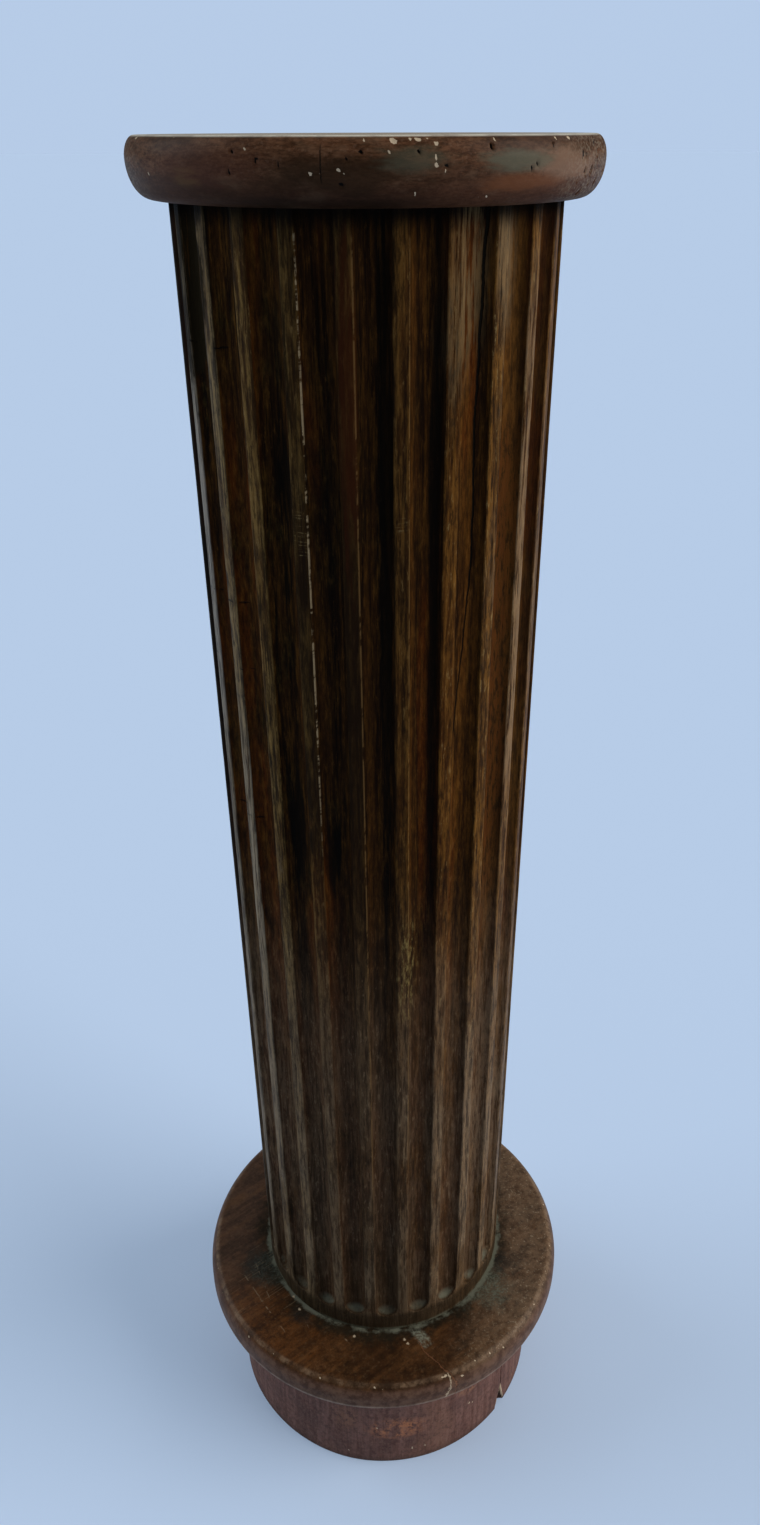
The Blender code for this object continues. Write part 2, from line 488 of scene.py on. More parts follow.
def make_base_disc(material):
    """The wide board under the shaft, with small chips along its upper edge."""
    low, high = BASE_LOW.z, BASE_HIGH.z
    shoulder = (BASE_RADIUS - BASE_UPPER_ROUND[0], high - BASE_UPPER_ROUND[1])
    heel = (BASE_RADIUS - BASE_LOWER_ROUND[0], low + BASE_LOWER_ROUND[1])
    seat = SHAFT_FOOT_RADIUS * 0.97
    outline = [
        *line((0.0, high), (seat, high), COARSE_STEP),
        *line((seat, high), (shoulder[0], high), FINE_STEP),
        *arc(shoulder, BASE_UPPER_ROUND, 90.0, 0.0, 12),
        *line((BASE_RADIUS, shoulder[1]), (BASE_RADIUS, heel[1]), FINE_STEP)[1:],
        *arc(heel, BASE_LOWER_ROUND, 0.0, -90.0, 4),
        *line((heel[0], low), (0.0, low), COARSE_STEP)[1:],
        (0.0, low),
    ]
    disc = turn("base_board", outline, DISC_SIDES)
    points = read_points(disc)
    chips = [
        (25.2, 135.2, 1.6, 1.1, 0.5, 10.0),
        (30.1, 131.2, 1.7, 1.0, 0.5, 15.0),
        (24.2, 135.2, 1.1, 1.0, 0.4),
        (35.5, 136.2, 1.2, 1.0, 0.4),
        (41.0, 135.2, 1.4, 1.2, 0.4),
        (3.0, 135.0, 1.0, 0.8, 0.4),
        (5.5, 134.6, 0.8, 1.0, 0.4),
        (-31.0, 134.8, 1.3, 0.9, 0.4, 20.0),
        (-14.0, 135.0, 0.9, 0.8, 0.3),
    ]
    chance = random.Random(21)
    for _ in range(26):
        size = chance.uniform(0.6, 1.3)
        bearing = chance.uniform(45.0, 320.0)
        chips.append((bearing, chance.uniform(130.0, 136.5), size, size, PAINT_DEPTH))
    keep_number(disc, "chip", dent(points, BASE_RADIUS, chips))
    swell(points, BASE_RADIUS, (12.0, 12.0, 30.0), 8, 0.0004)
    write_points(disc, points)
    finish_piece(disc, 50.0, "base_disc", material)


def chip_cutter():
    """A rough four-sided spike, tip up, for the chip at the drum's foot."""
    deselect_all()
    height = CHIP_HEIGHT + COARSE_STEP
    growth = height / CHIP_HEIGHT
    bpy.ops.mesh.primitive_cone_add(vertices=4, radius1=1.0, radius2=0.0, depth=height)
    cutter = bpy.context.object
    subdivide(7)
    place = Matrix.Translation(Vector((0.0, -DRUM_RADIUS, CHIP_HEIGHT - height / 2.0)))
    widths = Vector((CHIP_WIDTH / 2.0 * growth, CHIP_DEPTH * growth, 1.0, 1.0))
    bearing = Matrix.Rotation(math.radians(CHIP_BEARING), 4, 'Z')
    cutter.data.transform(bearing @ place @ Matrix.Diagonal(widths))
    points = read_points(cutter)
    points += (lumps(points, (420.0, 420.0, 90.0), 2) * 0.0009)[:, None]
    write_points(cutter, points)
    return cutter


def split_cutter():
    """A thin wavering blade, for the split above the chip."""
    deselect_all()
    bottom = CHIP_HEIGHT * 0.8
    bpy.ops.mesh.primitive_cube_add(size=1.0)
    cutter = bpy.context.object
    cutter.scale = (SPLIT_WIDTH, 2.0 * CHIP_DEPTH, SPLIT_TOP - bottom)
    cutter.location = (0.0, -DRUM_RADIUS, (SPLIT_TOP + bottom) / 2.0)
    bpy.ops.object.transform_apply(location=True, rotation=False, scale=True)
    subdivide(24)
    points = read_points(cutter)
    up = (points[:, 2] - bottom) / (SPLIT_TOP - bottom)
    points[:, 0] *= 1.0 - 0.55 * up
    sway = lumps(points * np.array((0.0, 0.0, 1.0)), (1.0, 1.0, 130.0), 6)
    points[:, 0] += sway * 0.0007
    write_points(cutter, points)
    cutter.data.transform(Matrix.Rotation(math.radians(CHIP_BEARING), 4, 'Z'))
    return cutter


def make_plinth_drum(material):
    """The plain drum, with its chip and the split that runs up from it."""
    low, high = DRUM_LOW.z, DRUM_HIGH.z
    upper = (DRUM_RADIUS - DRUM_ROUND[0], high - DRUM_ROUND[1])
    lower = (DRUM_RADIUS - DRUM_ROUND[0], low + DRUM_ROUND[1])
    outline = [
        *line((0.0, high), (upper[0], high), 2.0 * COARSE_STEP),
        *arc(upper, DRUM_ROUND, 90.0, 0.0, 3),
        *line((DRUM_RADIUS, upper[1]), (DRUM_RADIUS, lower[1]), 1.3 * FINE_STEP)[1:],
        *arc(lower, DRUM_ROUND, 0.0, -90.0, 3),
        *line((lower[0], low), (0.0, low), 2.0 * COARSE_STEP)[1:],
        (0.0, low),
    ]
    drum = turn("plinth_block", outline, DISC_SIDES)
    points = read_points(drum)
    chips = [
        (39.4, 47.0, 1.4, 1.8, PAINT_DEPTH, 10.0),
        (41.0, 45.0, 1.0, 1.5, PAINT_DEPTH),
        (3.0, 48.0, 1.4, 1.1, PAINT_DEPTH),
        (-8.0, 11.0, 0.9, 1.7, PAINT_DEPTH, 10.0),
        (16.0, 16.0, 0.9, 2.0, PAINT_DEPTH, 20.0),
        (21.0, 15.0, 0.9, 1.8, PAINT_DEPTH, 20.0),
    ]
    chance = random.Random(31)
    for _ in range(16):
        size = chance.uniform(0.6, 1.2)
        bearing = chance.uniform(70.0, 330.0)
        chips.append((bearing, chance.uniform(4.0, 90.0), size, size * 1.4, PAINT_DEPTH))
    keep_number(drum, "chip", dent(points, DRUM_RADIUS, chips))
    dent(points, DRUM_RADIUS, [FOOT_DENT])
    swell(points, DRUM_RADIUS, (16.0, 16.0, 9.0), 4, 0.0005)
    write_points(drum, points)
    cut_away(drum, chip_cutter())
    cut_away(drum, split_cutter())
    finish_piece(drum, 35.0, "plinth_drum", material)


# Materials


class Wire:
    """A value or colour in a material, with operators that add its Math nodes."""

    def __init__(self, tree, socket=None):
        self.tree = tree
        self.socket = socket

    def node(self, kind, settings, sockets, output=0):
        """Add any node: first its settings, then the values or links of its sockets."""
        made = self.tree.nodes.new(kind)
        for name, value in settings.items():
            setattr(made, name, value)
        for name, value in sockets.items():
            if isinstance(value, Wire):
                self.tree.links.new(value.socket, made.inputs[name])
            else:
                made.inputs[name].default_value = value
        return Wire(self.tree, made.outputs[output])

    def math(self, operation, *others):
        """A Math node on this value and others."""
        values = dict(enumerate((self, *others)))
        return self.node("ShaderNodeMath", {"operation": operation}, values)

    def __add__(self, other):
        return self.math('ADD', other)

    def __sub__(self, other):
        return self.math('SUBTRACT', other)

    def __mul__(self, other):
        return self.math('MULTIPLY', other)

    def __truediv__(self, other):
        return self.math('DIVIDE', other)

    def __abs__(self):
        return self.math('ABSOLUTE')

    def __rsub__(self, other):
        return self.node("ShaderNodeMath", {"operation": 'SUBTRACT'}, {0: other, 1: self})

    __radd__ = __add__
    __rmul__ = __mul__


def rise(value, low, high, start=0.0, end=1.0):
    """Go smoothly from 0 at low to 1 at high."""
    settings = {"interpolation_type": 'SMOOTHSTEP'}
    sockets = {0: value, 1: low, 2: high, 3: start, 4: end}
    return value.node("ShaderNodeMapRange", settings, sockets)


def fall(value, low, high):
    """Go smoothly from 1 at low to 0 at high."""
    return rise(value, low, high, 1.0, 0.0)


def opaque(colour):
    """A colour of three numbers as a colour socket takes it."""
    return colour if isinstance(colour, Wire) else (*colour, 1.0)


def tint(factor, under, over):
    """Lay one colour over another."""
    settings = {"data_type": 'RGBA', "blend_type": 'MIX', "clamp_factor": True}
    sockets = {0: factor, 6: opaque(under), 7: opaque(over)}
    return factor.node("ShaderNodeMix", settings, sockets, output=2)


def grain(point, stretch, detail, roughness, shift=0.0):
    """Noise from 0 to 1 whose frequency per metre is given along x, y and z."""
    settings = {"operation": 'MULTIPLY_ADD'}
    sockets = {0: point, 1: stretch, 2: (shift, shift * 0.7, shift * 1.3)}
    place = point.node("ShaderNodeVectorMath", settings, sockets)
    sockets = {"Vector": place, "Scale": 1.0, "Detail": detail, "Roughness": roughness}
    return point.node("ShaderNodeTexNoise", {"normalize": True}, sockets)


def patch(away, wander):
    """1 where away is 0 and 0 where it is 1, with an edge that wanders with a noise."""
    if wander is not None:
        away = away + (wander - 0.5) * PATCH_WANDER
    return fall(away, 0.35, 1.0)


def flaked(chip, speck):
    """1 inside a chip, with a ragged edge."""
    return rise(chip + 0.9 * (speck - 0.5), 0.42, 0.56)


class Finish:
    """One wood finish: a material with its surface places, and the colour laid so far."""

    def __init__(self, name, side_radius):
        self.material = bpy.data.materials.new(name)
        self.material.use_nodes = True
        self.tree = self.material.node_tree
        self.shader = self.tree.nodes["Principled BSDF"]
        self.side_radius = side_radius
        self.colour = None
        self.point = Wire(self.tree).node("ShaderNodeTexCoord", {}, {}, output=3)
        self.x = self.point.node("ShaderNodeSeparateXYZ", {}, {0: self.point}, output=0)
        self.y = Wire(self.tree, self.x.socket.node.outputs[1])
        self.z = Wire(self.tree, self.x.socket.node.outputs[2])
        self.bearing = self.x.math('ARCTAN2', 0.0 - self.y)
        self.degrees = self.bearing * math.degrees(1.0)
        self.radius = (self.x * self.x + self.y * self.y).math('SQRT')

    def number(self, name):
        """A number kept on the mesh's vertices."""
        return self.point.node("ShaderNodeAttribute", {"attribute_name": name}, {}, output=2)

    def grain(self, stretch, detail, roughness, shift=0.0):
        """Noise from 0 to 1 over the piece."""
        return grain(self.point, stretch, detail, roughness, shift)

    def around(self, bearing):
        """Distance around the side from a bearing."""
        return (self.bearing - math.radians(bearing)) * self.side_radius

    def near(self, bearing, height, half_width, half_height, wander=None):
        """1 in the middle of a patch on a round side, 0 from its edge on."""
        across = self.around(bearing) / half_width
        up = (self.z - height) / half_height
        return patch((across * across + up * up).math('SQRT'), wander)

    def near_point(self, x, y, reach, wander=None):
        """1 in the middle of a patch on the base board's top, 0 from its edge on."""
        sockets = {0: self.point, 1: (x, y, BASE_HIGH.z)}
        away = self.point.node("ShaderNodeVectorMath", {"operation": 'DISTANCE'}, sockets, output=1)
        return patch(away / reach, wander)

    def lay(self, amount, colour):
        """Lay a colour over those so far, where the amount is above 0."""
        self.colour = tint(amount, self.colour, colour)

    def side_patches(self, wander, rows):
        """Lay patches of (bearing, height, half width, half height, amount, colour)."""
        for *place, amount, colour in rows:
            self.lay(self.near(*place, wander) * amount, colour)

    def top_patches(self, wander, rows):
        """Lay patches of (x, y, reach, amount, colour) on the base board's top."""
        for *place, amount, colour in rows:
            self.lay(self.near_point(*place, wander) * amount, colour)

    def finish(self, roughness, sheen, relief, specular, depth):
        """Link the colour, roughness, wax sheen and relief to the shader."""
        inputs = self.shader.inputs
        self.tree.links.new(self.colour.socket, inputs["Base Color"])
        self.tree.links.new(roughness.socket, inputs["Roughness"])
        if sheen is not None:
            self.tree.links.new(sheen.socket, inputs["Coat Weight"])
            inputs["Coat Roughness"].default_value = WAX_ROUGHNESS
        sockets = {"Strength": 1.0, "Distance": depth, "Height": relief}
        self.tree.links.new(relief.node("ShaderNodeBump", {}, sockets).socket, inputs["Normal"])
        inputs["Specular IOR Level"].default_value = specular
        return self.material


def shaft_finish():
    """Nearly black stain on the left, brown on the right, worn to olive and gold on the fillets."""
    f = Finish("worn_stained_shaft", SHAFT_TOP_RADIUS)
    under = f.number("under")
    across = f.number("across")
    fillet = fall(under, 0.0003, 0.0012)
    fibre = f.grain((430.0, 430.0, 26.0), 5.0, 0.72)
    streak = f.grain((190.0, 190.0, 6.0), 5.0, 0.7, 3.0)
    broad = f.grain((34.0, 34.0, 3.2), 3.0, 0.55, 7.0)
    blotch = f.grain((36.0, 36.0, 13.0), 6.0, 0.72, 11.0)
    flake = f.grain((420.0, 420.0, 90.0), 5.0, 0.75, 17.0)
    char = f.grain((27.0, 27.0, 13.0), 5.0, 0.72, 29.0)
    right = rise(f.x, -0.004, 0.05)
    foot = fall(f.z, 0.4, 0.6)
    lowest = fall(f.z, 0.19, 0.27)
    turned_away = abs(f.degrees - 1.0)
    # middle is the front of the shaft; below, it paints shade there: less wear colour, less olive and a
    # dark layer
    middle = fall(turned_away, 0.0, 48.0)
    outer = rise(turned_away, 34.0, 62.0)

    black = tint(rise(streak, 0.38, 0.62), (0.007, 0.0026, 0.0006), (0.052, 0.0185, 0.0034))
    brown = tint(rise(streak, 0.37, 0.62), (0.015, 0.0048, 0.0009), (0.1, 0.034, 0.0045))
    stain = tint(right, black, brown)
    hidden = rise(turned_away, 76.0, 98.0)
    stain = tint(outer * right * (0.35 - 0.28 * hidden), stain, (0.17, 0.076, 0.016))
    olive = rise(char, 0.5, 0.62) * rise(flake, 0.42, 0.58) * (1.0 - right) * (1.0 - middle * 0.6)
    stain = tint(olive * 0.4, stain, (0.066, 0.046, 0.01))
    russet = rise(broad, 0.45, 0.56) * rise(blotch, 0.36, 0.54)
    stain = tint(russet * 0.85, stain, (0.105, 0.024, 0.0022))
    stain = tint(rise(fibre, 0.49, 0.6) * 0.38, stain, (0.135, 0.054, 0.008))
    stain = tint(rise(flake, 0.56, 0.68) * 0.32, stain, (0.175, 0.074, 0.014))
    stain = tint(0.6 * fall(flake, 0.36, 0.62), stain, (0.004, 0.0018, 0.0006))
    gold = tint(rise(fibre, 0.4, 0.62), (0.034, 0.018, 0.0038), (0.23, 0.132, 0.036))
    grey = tint(rise(fibre, 0.38, 0.64), (0.048, 0.034, 0.018), (0.215, 0.16, 0.095))
    gold = tint(outer, gold, grey)
    orange = tint(rise(fibre, 0.38, 0.64), (0.034, 0.0125, 0.0018), (0.2, 0.083, 0.0135))
    worn = tint(right, gold, orange)
    worn = tint(rise(flake, 0.56, 0.67) * 0.5, worn, (0.36, 0.235, 0.085))
    worn = tint(0.75 * fall(flake, 0.37, 0.5), worn, (0.014, 0.007, 0.002))
    worn = tint(hidden * 0.55, worn, (0.07, 0.04, 0.017))
    wear = fillet * (rise(blotch, 0.36, 0.54) * 0.62 + 0.38)
    outward = fall(across * (1.0 - 2.0 * (1.0 - right)), -0.75, 0.25)
    side_wear = outward * (1.0 - fillet) * rise(broad, 0.36, 0.6) * (0.1 + 0.42 * right)
    amount = wear + side_wear
    # Less wear colour towards the front: painted shade.
    amount = amount.math('MINIMUM', 1.0) * (1.0 - middle * 0.75)
    f.colour = tint(amount, stain, worn)
    rusty = (1.0 - fillet) * rise(flake, 0.4, 0.58) * 0.7
    flaky = (1.0 - fillet) * 0.5 * fall(flake, 0.38, 0.52)
    lit_side = fall(across, -0.1, 0.7)
    f.side_patches(blotch, (
        # This first patch is painted shade: darker fillets at the front.
        (-5.0, 0.73, 0.034, 0.27, fillet * 0.75, (0.012, 0.005, 0.0014)),
        (-44.0, 0.58, 0.024, 0.15, fillet * rise(fibre, 0.38, 0.58) * 0.75, (0.29, 0.225, 0.15)),
        # This patch is partly wear, partly painted light on the flute walls that face the right light.
        (48.5, 0.95, 0.02, 0.07, lit_side * rise(fibre, 0.36, 0.54) * 0.5, (0.24, 0.165, 0.085)),
        (31.0, 0.93, 0.013, 0.06, rise(fibre, 0.4, 0.58) * 0.4, (0.14, 0.1, 0.052)),
        (53.0, 0.7, 0.017, 0.24, rusty, (0.075, 0.02, 0.0038)),
        (53.0, 0.7, 0.017, 0.24, flaky, (0.012, 0.005, 0.0018)),
        # This patch is partly worn grey wood, partly painted sheen on the far left fillets.
        (-60.0, 0.78, 0.018, 0.15, fillet * rise(fibre, 0.36, 0.56) * 0.6, (0.33, 0.285, 0.235)),
        (62.0, 0.77, 0.036, 0.26, fillet * rise(fibre, 0.4, 0.58) * 0.55, (0.29, 0.19, 0.105)),
    ))
    f.side_patches(fibre, ((0.2, 0.88, 0.0065, 0.11, 0.5, (0.07, 0.014, 0.0022)),))
    # Painted shade on the flute walls that face away from the right light.
    painted_wall_shade = rise(across, 0.1, 0.7) * right * (1.0 - fillet) * (1.0 - foot * 0.7)
    f.lay(painted_wall_shade * rise(broad, 0.36, 0.54) * 0.65, (0.006, 0.0025, 0.0008))
    # Painted shade over the front of the shaft.
    f.lay(middle * 0.35, (0.008, 0.003, 0.001))
    # Painted shade: a dark strip down the flute at the far left, from bearing -82 to -61.
    f.lay(rise(f.degrees, -82.0, -74.0) * fall(f.degrees, -66.0, -61.0) * 0.75, (0.01, 0.009, 0.008))

    # Dark char marks, and painted shade on two flute walls.
    char_and_wall_shade = (1.0 - fillet * 0.6) * (1.0 - foot * 0.6) * (1.0 - right * 0.5) * 0.55
    char_and_wall_shade = rise(char, 0.55, 0.66) * char_and_wall_shade
    for place in (
        (-20.8, 0.84, 0.008, 0.044),
        (-22.7, 0.778, 0.0045, 0.016),
        (-23.5, 0.623, 0.0085, 0.07),
        (-9.2, 0.603, 0.008, 0.046),
        # The next two are painted shade on flute walls right of the front.
        (10.6, 0.8, 0.0068, 0.33),
        (25.7, 0.8, 0.0046, 0.33),
    ):
        char_and_wall_shade = char_and_wall_shade.math('MAXIMUM', f.near(*place, fibre) * 0.85)
    f.lay(char_and_wall_shade, (0.0032, 0.002, 0.0009))
    top_left = rise(f.near(-60.0, 0.955, 0.03, 0.1, blotch), 0.1, 0.45)
    f.lay(top_left * (0.98 - 0.35 * rise(fibre, 0.5, 0.62)), (0.013, 0.008, 0.0024))
    # Painted shade: a dark band along the shaft's top, under the top board.
    shade_under_top = rise(f.z, SHAFT_HIGH.z - 0.013, SHAFT_HIGH.z - 0.001)
    f.lay(shade_under_top * 0.92, (0.002, 0.0013, 0.0008))
    haze = rise(fibre, 0.42, 0.58) * 0.5
    f.side_patches(fibre, ((36.0, 0.94, 0.015, 0.07, haze, (0.19, 0.125, 0.055)),))

    # Painted shade deep in the flutes, from about 70 degrees off the front round the back.
    deep = rise(under, 0.0014, 0.0048) * rise(turned_away, 68.0, 84.0)
    f.lay(deep * 0.62, (0.011, 0.005, 0.0016))
    # Dust on the lower shaft, paler on the fillets; towards the front it is made darker, which is painted
    # shade.
    dust_and_front_shade = tint(outer, (0.118, 0.07, 0.038), (0.185, 0.122, 0.072))
    fillet_dust_clear_of_front_shade = fillet * (1.0 - middle * (0.95 - 0.6 * lowest))
    dust_and_front_shade = tint(middle * (0.6 - 0.5 * lowest), dust_and_front_shade, (0.07, 0.04, 0.021))
    dust_and_front_shade = tint(fillet_dust_clear_of_front_shade, dust_and_front_shade, (0.205, 0.142, 0.086))
    dust_and_front_shade = tint(0.72 * fall(fibre, 0.4, 0.56), dust_and_front_shade, (0.026, 0.014, 0.006))
    dust_and_front_shade = tint(rise(flake, 0.55, 0.66) * 0.35, dust_and_front_shade, (0.3, 0.215, 0.13))
    dust_and_front_shade = tint(0.45 * fall(flake, 0.37, 0.48), dust_and_front_shade, (0.022, 0.012, 0.005))
    f.lay((rise(blotch, 0.34, 0.6) * 0.45 + 0.3) * foot * (1.0 - 0.45 * deep), dust_and_front_shade)
    f.lay(lowest * rise(char, 0.44, 0.56) * 0.45, (0.04, 0.021, 0.009))
    flecks = rise(flake, 0.5, 0.6) * 0.6
    f.side_patches(blotch, ((17.0, 0.51, 0.009, 0.07, flecks, (0.21, 0.15, 0.05)),))

    level = f.grain((60.0, 60.0, 1300.0), 3.0, 0.6, 37.0)
    belt = fillet * rise(level, 0.54, 0.66) * rise(flake, 0.44, 0.58) * 0.7
    f.side_patches(None, (
        (-30.0, 0.8325, 0.005, 0.005, belt, (0.24, 0.165, 0.07)),
        (-14.8, 0.8125, 0.0055, 0.022, belt, (0.24, 0.165, 0.07)),
        (15.0, 0.8185, 0.005, 0.005, belt, (0.24, 0.165, 0.07)),
    ))
    check = level_cracks(f, (0.72, 0.762, 0.615, 0.903), -64.0, -38.0)
    f.lay(check * 0.8, BLACK)

    scoop_low = SHAFT_LOW.z + FOOT_RING_HEIGHT
    dust_line = fall(f.z, SHAFT_LOW.z + 0.0006, SHAFT_LOW.z + 0.0034)
    ring = fall(f.z, scoop_low - 0.002, scoop_low + 0.006)
    scoop = fall(f.z, scoop_low + 0.002, scoop_low + 0.008) * rise(under, 0.0008, 0.0034)
    f.lay(ring * 0.7, (0.022, 0.014, 0.007))
    scoop = scoop * rise(blotch, 0.38, 0.54) * (0.35 + 0.5 * rise(broad, 0.42, 0.54))
    f.lay(scoop, (0.135, 0.13, 0.09))
    f.lay(dust_line * rise(blotch, 0.4, 0.56) * 0.8, (0.13, 0.13, 0.09))

    # Painted highlights: thin pale lines up three fillet edges.
    breaks = f.grain((1.0, 1.0, 34.0), 5.0, 0.8, 2.0) + 0.35 * (flake - 0.5)
    for *place, cut_off, amount, colour in (
        (-12.75, 0.00042, 0.58, 0.966, 0.47, 0.7, (0.34, 0.25, 0.14)),
        (2.35, 0.0005, 0.25, 0.96, 0.44, 0.45, (0.15, 0.085, 0.03)),
        (17.35, 0.00055, 0.3, 0.96, 0.43, 0.42, (0.24, 0.14, 0.045)),
    ):
        f.lay(painted_arris_highlight(f, *place, breaks, cut_off) * amount, colour)
    crack = shaft_crack(f)
    f.lay(crack * 0.95, BLACK)

    roughness = 0.54 + 0.22 * fibre
    shiny = rise(turned_away, 22.0, 50.0) * (1.0 - shade_under_top) * (1.0 - top_left)
    far_right = rise(f.degrees, 63.0, 73.0) * (1.0 - hidden)
    sheen = fillet * rise(blotch, 0.25, 0.6) * shiny * (0.16 - 0.09 * right + 0.07 * far_right)
    relief = fibre * 0.5 + streak * 0.35 + flake * 0.35 - crack * 1.5 - check * 0.6
    return f.finish(roughness, sheen, relief, 0.03, 0.0012)


def level_cracks(f, heights, start, end):
    """Thin broken lines that run level around a stretch of the shaft."""
    wander = f.grain((14.0, 14.0, 0.0), 2.0, 0.5, 31.0)
    broken = f.grain((170.0, 170.0, 500.0), 3.0, 0.7, 37.0)
    level = f.z + (wander - 0.5) * 0.003
    found = None
    for height in heights:
        mark = fall(abs(level - height), 0.0003, 0.001)
        found = mark if found is None else found.math('MAXIMUM', mark)
    within = rise(f.degrees, start, start + 3.0) * fall(f.degrees, end - 3.0, end)
    return found * within * rise(broken, 0.49, 0.6)


def painted_arris_highlight(f, bearing, half_width, low, high, breaks, cut_off):
    """A thin broken painted highlight that runs up one edge of a fillet."""
    on_line = fall(abs(f.around(bearing)), half_width * 0.4, half_width)
    within = rise(f.z, low, low + 0.1) * fall(f.z, high - 0.004, high)
    return on_line * within * rise(breaks, cut_off, cut_off + 0.07)


def shaft_crack(f):
    """The long fine crack that runs down from the top, right of the middle."""
    wander = f.grain((0.0, 0.0, 40.0), 4.0, 0.7, 1.0)
    middle = 31.7 + 8.0 * rise(f.z, 0.62, 0.8) + 1.6 * rise(f.z, 0.86, 1.00) + 1.8 * (wander - 0.5)
    width = 0.33 + 0.17 * rise(f.z, 0.74, 0.97)
    return fall(abs(f.degrees - middle) / width, 0.5, 1.0) * rise(f.z, 0.64, 0.67)


def top_finish():
    """Dull chocolate and red brown, streaked around the edge, with grey-green wear."""
    f = Finish("dull_waxed_top", TOP_RADIUS)
    hole = f.number("hole")
    chip = f.number("chip")
    streak = f.grain((46.0, 46.0, 190.0), 6.0, 0.72)
    fine = f.grain((260.0, 260.0, 900.0), 4.0, 0.7, 4.0)
    blotch = f.grain((44.0, 44.0, 120.0), 5.0, 0.64, 8.0)
    broad = f.grain((11.0, 11.0, 60.0), 3.0, 0.5, 2.0)
    speckle = f.grain((700.0, 700.0, 700.0), 3.0, 0.6, 9.0)
    f.colour = tint(rise(streak, 0.34, 0.66), (0.046, 0.017, 0.006), (0.112, 0.046, 0.021))
    f.lay(rise(fine, 0.44, 0.64) * 0.38, (0.175, 0.078, 0.036))
    f.lay(0.45 * fall(fine, 0.38, 0.5), (0.026, 0.011, 0.0045))
    f.lay(rise(speckle, 0.54, 0.66) * 0.16, (0.26, 0.15, 0.09))
    # Painted shade: darker red towards the bottom of the board's side.
    shade_low_part = fall(f.z, TOP_LOW.z + 0.006, TOP_LOW.z + 0.016)
    f.lay(shade_low_part * 0.6, (0.06, 0.02, 0.009))
    f.lay(rise(blotch, 0.52, 0.68) * 0.3, (0.17, 0.098, 0.054))
    f.lay(rise(broad, 0.5, 0.64) * 0.45, (0.026, 0.012, 0.005))
    f.side_patches(blotch, (
        (0.0, 0.985, 0.056, 0.011, 0.8, (0.024, 0.011, 0.004)),
        (-32.0, 0.983, 0.028, 0.013, 0.6, (0.026, 0.01, 0.004)),
    ))
    # Painted shade on the lower rounding, lighter towards both ends.
    shaded = fall(f.z, TOP_LOW.z + 0.002, TOP_LOW.z + 0.011)
    darkened = shaded * (1.0 - 0.8 * rise(f.x, 0.015, 0.075)) * (1.0 - 0.8 * fall(f.x, -0.08, -0.025))
    f.lay(darkened * 0.82, (0.006, 0.0035, 0.002))
    olive = rise(streak, 0.4, 0.56) * 0.45
    f.side_patches(blotch, ((-35.0, 0.983, 0.013, 0.006, olive, (0.12, 0.06, 0.018)),))
    f.side_patches(streak, ((-30.0, 0.988, 0.05, 0.012, 0.35, (0.095, 0.03, 0.016)),))
    # Painted highlight on the right of the board's side.
    f.side_patches(blotch, ((56.0, 0.988, 0.034, 0.01, 0.6, (0.26, 0.15, 0.092)),))
    f.side_patches(streak, (
        (40.0, 0.9893, 0.028, 0.0066, 0.7, (0.112, 0.104, 0.066)),
        (16.0, 0.9905, 0.024, 0.0062, 0.6, (0.07, 0.066, 0.04)),
        (42.0, 0.9806, 0.036, 0.0054, 0.6, (0.16, 0.054, 0.018)),
    ))
    side = rise(abs(f.degrees), 48.7, 71.6)
    f.lay(side * rise(speckle, 0.46, 0.62) * 0.45, (0.3, 0.24, 0.17))

    crack = fall(abs(f.around(-2.7) + (blotch - 0.5) * 0.0016), 0.0001, 0.0004) * 0.85
    crack = crack * rise(f.z, 0.98, 0.9835) * fall(f.z, 0.9945, 0.997) * rise(fine, 0.4, 0.52)

    # The top face: pale dusty bare wood, made paler still as painted reflection of the sky, most at its
    # rim.
    on_top = rise(f.z, TOP_HIGH.z - 0.001, TOP_HIGH.z - 0.0001)
    plank = f.grain((7.0, 520.0, 1.0), 5.0, 0.62, 6.0)
    top_colour_and_reflection = tint(rise(plank, 0.3, 0.72), (0.235, 0.185, 0.138), (0.4, 0.335, 0.262))
    ring_reach = f.radius / 0.058
    ring_mark = rise(ring_reach, 0.93, 1.0) * fall(ring_reach, 1.0, 1.06)
    top_colour_and_reflection = tint(ring_mark * rise(blotch, 0.35, 0.6) * 0.4, top_colour_and_reflection, (0.075, 0.05, 0.032))
    top_colour_and_reflection = tint(rise(broad, 0.45, 0.62) * 0.5, top_colour_and_reflection, (0.46, 0.42, 0.35))
    rim_dust_and_highlight = rise(f.radius, TOP_RADIUS - 0.014, TOP_RADIUS - 0.005)
    top_colour_and_reflection = tint(rim_dust_and_highlight * rise(streak, 0.36, 0.56) * 0.75, top_colour_and_reflection, (0.62, 0.58, 0.47))
    f.lay(on_top, top_colour_and_reflection)
    f.lay(crack, BLACK)
    f.lay(flaked(chip, speckle), CREAM)
    f.lay(rise(hole, 0.3, 0.55), BLACK)
    roughness = 0.46 + 0.2 * streak + 0.12 * on_top
    sheen = (0.02 + 0.12 * rise(abs(f.x), 0.03, 0.1)) * (0.5 + streak) * (1.0 - shaded)
    sheen = sheen + 0.25 * on_top
    relief = streak * 0.4 + fine * 0.2 + blotch * 0.3 - crack * 1.4
    return f.finish(roughness, sheen, relief, 0.03, 0.0006)


